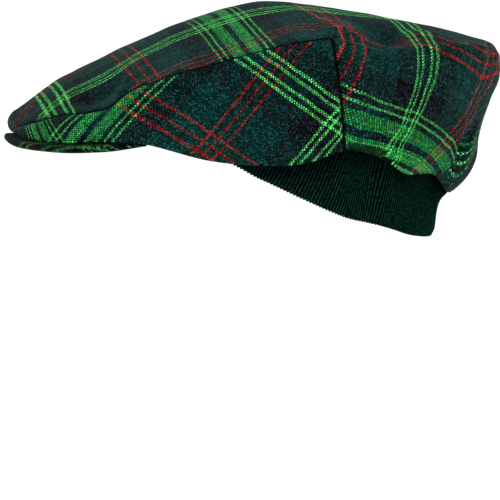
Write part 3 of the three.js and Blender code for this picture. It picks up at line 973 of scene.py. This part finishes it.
def flap_base(look, gap, cloth):
    """The flap as a smooth wall, rib by rib: points, faces, and each point's place and ribs' strength."""
    form = FlapForm(cloth + gap)
    pitch, height, wall = look.rib_pitch / MM, look.rib_height / MM, look.knit_wall / MM
    ribs = round(form.along[-1] / pitch)
    upper = np.linspace(0, FLAP_CLOSER, UPPER_ROWS, endpoint=False)
    outer = np.concatenate([upper, np.linspace(FLAP_CLOSER, FLAP_HEM, LOWER_ROWS)])
    inner = np.linspace(FLAP_HEM, 0, INNER_ROWS)
    turn = np.pi * np.arange(1, HEM_STEPS) / HEM_STEPS
    swell = np.concatenate([np.ones(len(outer)), np.cos(turn / 2) ** 2, np.zeros(len(inner))])
    low = np.concatenate([outer, np.full(len(turn), FLAP_HEM), inner])
    hang = np.clip((low - FLAP_HANG) / (FLAP_HEM - FLAP_HANG), 0, 1) ** 2
    loops, marks = [], []
    for along in np.linspace(0, form.along[-1], ribs * POINTS_PER_RIB + 1):
        s_outer = form.column_at(along, outer)
        face_outer = form.face(s_outer, outer, np.full_like(outer, height))
        s_inner = form.column_at(along, inner)
        face_inner = form.face(s_inner, inner, np.full_like(inner, height + wall))
        middle = (face_outer[-1] + face_inner[0]) / 2
        half = (face_outer[-1] - face_inner[0]) / 2
        top, hem = form.ends(s_outer[-1:])
        tall = top[0] - hem[0]
        drop = np.array([0, 0, -tall * (1 - FLAP_HEM)])
        edge = middle + np.cos(turn)[:, None] * half + np.sin(turn)[:, None] * drop
        loops.append(np.concatenate([face_outer, edge, face_inner]))
        behind = tall + HEM_BEHIND + (FLAP_HEM - inner) * tall
        down = np.concatenate([outer * tall, FLAP_HEM * tall + turn * HEM_ROUND, behind])
        marks.append(np.column_stack([np.full(len(down), along), down, swell, hang]))
    loops, marks = np.array(loops), np.array(marks)
    all_loops = np.concatenate([mirrored(loops[:-1]), loops[::-1]])
    all_marks = np.concatenate([marks[:-1], marks[::-1]])
    return all_loops.reshape(-1, 3), loft(all_loops), all_marks.reshape(-1, 4)


def rib_tree(material):
    """A node tree that raises a smooth wall into ribs and lets each rib's end hang lower."""
    tree = bpy.data.node_groups.new("rib_knit_wall", "GeometryNodeTree")
    face = tree.interface
    face.new_socket("Geometry", in_out="INPUT", socket_type="NodeSocketGeometry")
    for name in RIB_SIZES:
        face.new_socket(name, in_out="INPUT", socket_type="NodeSocketFloat")
    face.new_socket("Geometry", in_out="OUTPUT", socket_type="NodeSocketGeometry")
    nodes = Nodes(tree)
    given = tree.nodes.new("NodeGroupInput")
    wall, pitch, height, scallop = [Value(nodes, socket) for socket in given.outputs[:4]]

    def mark(name):
        settings = {"data_type": "FLOAT"}
        return nodes.add("GeometryNodeInputNamedAttribute", settings, {"Name": name})

    rib = abs((mark("rib") / pitch * math.pi).math("COSINE")) ** RIB_ROUNDNESS
    out = nodes.add("GeometryNodeInputNormal", {}, {})
    raised = nodes.add("ShaderNodeVectorMath", {"operation": "SCALE"},
                       {0: out, "Scale": rib * height * mark("swell")})
    hang = nodes.add("ShaderNodeCombineXYZ", {}, {2: rib * scallop * mark("hang") * -1})
    offset = nodes.add("ShaderNodeVectorMath", {"operation": "ADD"}, {0: raised, 1: hang})
    ribbed = nodes.add("GeometryNodeSetPosition", {}, {"Geometry": wall, "Offset": offset})
    real = nodes.add("GeometryNodeRealizeInstances", {}, {0: ribbed})
    finished = nodes.add("GeometryNodeSetMaterial", {}, {"Geometry": real, "Material": material})
    nodes.add("NodeGroupOutput", {}, {0: finished})
    return tree


def grown(piece, tree, inputs):
    """The piece with a node tree's result as its plain mesh."""
    modifier = piece.modifiers.new(tree.name, "NODES")
    modifier.node_group = tree
    for item in tree.interface.items_tree:
        if item.in_out == "INPUT" and item.name in inputs:
            modifier[item.identifier] = inputs[item.name]
    view = bpy.context.evaluated_depsgraph_get()
    mesh = bpy.data.meshes.new_from_object(piece.evaluated_get(view))
    piece.modifiers.remove(modifier)
    piece.data = mesh


# Settings

def number(name, description, default, **limits):
    return FloatProperty(name=name, description=description, default=default, **limits)


def length(name, description, default):
    return number(name, description, default, min=0, unit="LENGTH", precision=5)


def paint(name, description, srgb):
    """A colour property whose default is given in display values of 0 to 255."""
    shares = [value / 255 for value in srgb]
    linear = [c / 12.92 if c <= 0.04045 else ((c + 0.055) / 1.055) ** 2.4 for c in shares]
    return FloatVectorProperty(name=name, description=description, default=linear, min=0, max=1,
                               size=3, subtype="COLOR")


class CrownSizes(bpy.types.PropertyGroup):
    cloth: length("Cloth", "Thickness of the crown's wall", 0.002)
    seam_gap: length("Seam gap", "Gap between neighbouring panels", 0.0004)
    seam_sink: length("Seam sink", "How far the cloth is drawn in at a seam", 0.0013)
    seam_reach: length("Seam reach", "How far from a seam the cloth dips", 0.0045)
    pucker: length("Pucker", "Height of the puckers beside the seams", 0.0006)
    unevenness: length("Unevenness", "Height of the soft waves of the cloth", 0.0008)
    peak_thickness: length("Peak thickness", "Thickness of the peak with its cloth", 0.0042)


class WoolLook(bpy.types.PropertyGroup):
    lime: paint("Lime", "Fine bright lines", (100, 232, 108))
    navy: paint("Navy", "Ground between fine lines", (11, 24, 34))
    black: paint("Black", "Dark ground", (19, 18, 27))
    teal: paint("Teal", "Wide ground", (9, 53, 49))
    red: paint("Red", "Red lines", (190, 25, 36))
    moss: paint("Moss", "Ground between the red lines", (12, 52, 42))
    green: paint("Green", "Broad band", (28, 178, 80))
    fern: paint("Fern", "Paler threads of the broad band", (100, 196, 76))
    stray: paint("Stray", "Stray fibres in every colour", (30, 66, 66))
    thread_pitch: length("Thread pitch", "Distance between neighbouring threads", 0.00082)
    sheen: number("Sheen", "Strength of the nap's haze", 0.055, min=0, max=1, subtype="FACTOR")
    sheen_tint: paint("Sheen tint", "Colour of the nap's haze", (205, 232, 222))


class KnitLook(bpy.types.PropertyGroup):
    rib_pitch: length("Rib pitch", "Distance between neighbouring ribs", 0.0019)
    rib_height: length("Rib height", "How far a rib stands out", 0.0008)
    rib_scallop: length("Rib scallop", "How much lower a rib's end hangs", 0.0004)
    knit_wall: length("Knit wall", "Thickness between two ribs", 0.0026)
    knit_colour: paint("Knit", "Colour of the knit", (9, 38, 31))


class StageLook(bpy.types.PropertyGroup):
    floor_height: number("Floor", "Height of the floor", -0.25, unit="LENGTH")
    floor_colour: paint("Floor colour", "Colour of floor and backdrop", (250, 250, 250))
    top_light: number("Top light", "Power of the light above", 17.0, min=0, unit="POWER")
    front_light: number("Front light", "Power of the light beside the camera", 4.0, min=0, unit="POWER")
    camera_distance: length("Camera distance", "From the camera to the aim", 1.7)
    camera_lens: number("Lens", "Focal length", 200.7, min=1, unit="CAMERA")


# Operators

class FLATCAP_OT_crown(bpy.types.Operator):
    """Builds the three panels of the crown"""

    bl_idname = "flatcap.crown"
    bl_label = "Crown panels"

    def execute(self, context):
        scene = context.scene
        sizes = scene.flatcap_crown
        net = CrownNet(sizes.cloth / MM / 2)
        seams = seam_points(net)
        draw_in(net, seams, sizes)
        wool = wool_material(scene.flatcap_wool)
        for node in ("centre_panel", "side_panel_left", "side_panel_right"):
            piece = cloth_object(f"{node}_cloth", *panel_mesh(node, net, seams, sizes), wool)
            dress(piece, node)
        return {"FINISHED"}


class FLATCAP_OT_peak(bpy.types.Operator):
    """Builds the stiff peak under the crown's front"""

    bl_idname = "flatcap.peak"
    bl_label = "Peak"

    def execute(self, context):
        sizes = context.scene.flatcap_crown
        sections = np.linspace(len(PEAK["outX"]) - 1, 0, PEAK_STEPS + 1)
        left = [peak_loop(s, sizes.peak_thickness / MM) for s in sections]
        right = [(mirrored(points), cloth) for points, cloth in reversed(left[:-1])]
        loops = left + right
        points = np.concatenate([loop for loop, _ in loops])
        cloth = np.concatenate([place for _, place in loops])
        wool = bpy.data.materials["checked_wool"]
        piece = cloth_object("peak_cloth", points, loft([loop for loop, _ in loops]), cloth, wool)
        dress(piece, "peak")
        return {"FINISHED"}


class FLATCAP_OT_ear_flap(bpy.types.Operator):
    """Builds the ribbed ear flap"""

    bl_idname = "flatcap.ear_flap"
    bl_label = "Ear flap"

    def execute(self, context):
        scene = context.scene
        look = scene.flatcap_knit
        crown = scene.flatcap_crown
        knit = knit_material(look)
        points, faces, marks = flap_base(look, crown.seam_gap / MM, crown.cloth / MM)
        piece = cloth_object("ear_flap_knit", points, faces, marks[:, :3], knit)
        for name, values in (("rib", marks[:, 0] * MM), ("swell", marks[:, 2]), ("hang", marks[:, 3])):
            attribute = piece.data.attributes.new(name, "FLOAT", "POINT")
            attribute.data.foreach_set("value", values)
        inputs = {name: getattr(look, key) for name, key in RIB_SIZES.items()}
        grown(piece, rib_tree(knit), inputs)
        dress(piece, "ear_flap")
        return {"FINISHED"}


class FLATCAP_OT_stage(bpy.types.Operator):
    """Builds the pale floor, the soft lights and the camera"""

    bl_idname = "flatcap.stage"
    bl_label = "Stage"

    def execute(self, context):
        scene = context.scene
        look = scene.flatcap_stage
        self.backdrop(look)
        for name, light in LIGHTS.items():
            self.area_light(name, getattr(look, name), **light)
        world = bpy.data.worlds.new("studio")
        world.use_nodes = True
        sky = world.node_tree.nodes["Background"].inputs
        sky["Color"].default_value = (1, 1, 1, 1)
        sky["Strength"].default_value = WORLD_LIGHT
        scene.world = world
        scene.view_settings.view_transform = "Standard"
        camera = bpy.data.cameras.new("camera")
        camera.lens = look.camera_lens
        camera.sensor_width = SENSOR_WIDTH
        holder = linked("camera", camera)
        way = Vector((0, -math.cos(CAMERA_RISE), math.sin(CAMERA_RISE)))
        holder.location = Vector(CAMERA_AIM) + look.camera_distance * way
        holder.rotation_euler = (math.pi / 2 - CAMERA_RISE, 0, 0)
        scene.camera = holder
        return {"FINISHED"}

    @staticmethod
    def backdrop(look):
        """A round floor that curves up into a wall on every side."""
        material, nodes = new_material("studio_white")
        shader = nodes.add("ShaderNodeBsdfPrincipled", {}, {
            "Base Color": (*look.floor_colour, 1),
            "Roughness": 0.9,
            "Emission Color": (1, 1, 1, 1),
            "Emission Strength": BACKDROP["glow"],
        })
        nodes.add("ShaderNodeOutputMaterial", {}, {"Surface": shader})
        y, flat, bend, turns = (BACKDROP[key] for key in ("y", "flat", "bend", "turns"))
        rises = np.linspace(0, math.pi / 2, BACKDROP["rows"])
        profile = [(flat + bend * math.sin(a), bend - bend * math.cos(a)) for a in rises]
        profile.append((flat + bend, BACKDROP["height"]))
        vertices = [(0, y, look.floor_height)]
        for radius, z in profile:
            for turn in (2 * math.pi * k / turns for k in range(turns)):
                place = (radius * math.cos(turn), y + radius * math.sin(turn), look.floor_height + z)
                vertices.append(place)
        faces = [(0, 1 + k, 1 + (k + 1) % turns) for k in range(turns)]
        faces += bands(len(profile), turns, 1)
        floor = smooth_object("backdrop", vertices, faces, material)

    @staticmethod
    def area_light(name, power, place, turn, size):
        light = bpy.data.lights.new(name, "AREA")
        light.shape = "SQUARE"
        light.size = size
        light.energy = power
        holder = linked(name, light)
        holder.location = place
        holder.rotation_euler = [math.radians(angle) for angle in turn]


class FLATCAP_PT_sidebar(bpy.types.Panel):
    """The cap's settings and the buttons that build its pieces"""

    bl_idname = "FLATCAP_PT_sidebar"
    bl_label = "Flat Cap"
    bl_space_type = "VIEW_3D"
    bl_region_type = "UI"
    bl_category = "Flat Cap"

    def draw(self, context):
        for group in GROUPS:
            settings = getattr(context.scene, group)
            box = self.layout.box()
            for key in settings.bl_rna.properties.keys():
                if key not in ("rna_type", "name"):
                    box.prop(settings, key)
        for operator in OPERATORS:
            self.layout.operator(operator.bl_idname)


GROUPS = {
    "flatcap_crown": CrownSizes,
    "flatcap_wool": WoolLook,
    "flatcap_knit": KnitLook,
    "flatcap_stage": StageLook,
}
OPERATORS = [FLATCAP_OT_crown, FLATCAP_OT_peak, FLATCAP_OT_ear_flap, FLATCAP_OT_stage]


def register():
    for name, group in GROUPS.items():
        bpy.utils.register_class(group)
        setattr(bpy.types.Scene, name, PointerProperty(type=group))
    for operator in OPERATORS:
        bpy.utils.register_class(operator)
    bpy.utils.register_class(FLATCAP_PT_sidebar)


def unregister():
    bpy.utils.unregister_class(FLATCAP_PT_sidebar)
    for operator in reversed(OPERATORS):
        bpy.utils.unregister_class(operator)
    for name, group in reversed(GROUPS.items()):
        delattr(bpy.types.Scene, name)
        bpy.utils.unregister_class(group)


def main():
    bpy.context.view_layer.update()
    register()
    bpy.ops.flatcap.crown()
    bpy.ops.flatcap.peak()
    bpy.ops.flatcap.ear_flap()
    bpy.ops.flatcap.stage()
    bpy.context.view_layer.update()


if __name__ == "__main__":
    main()
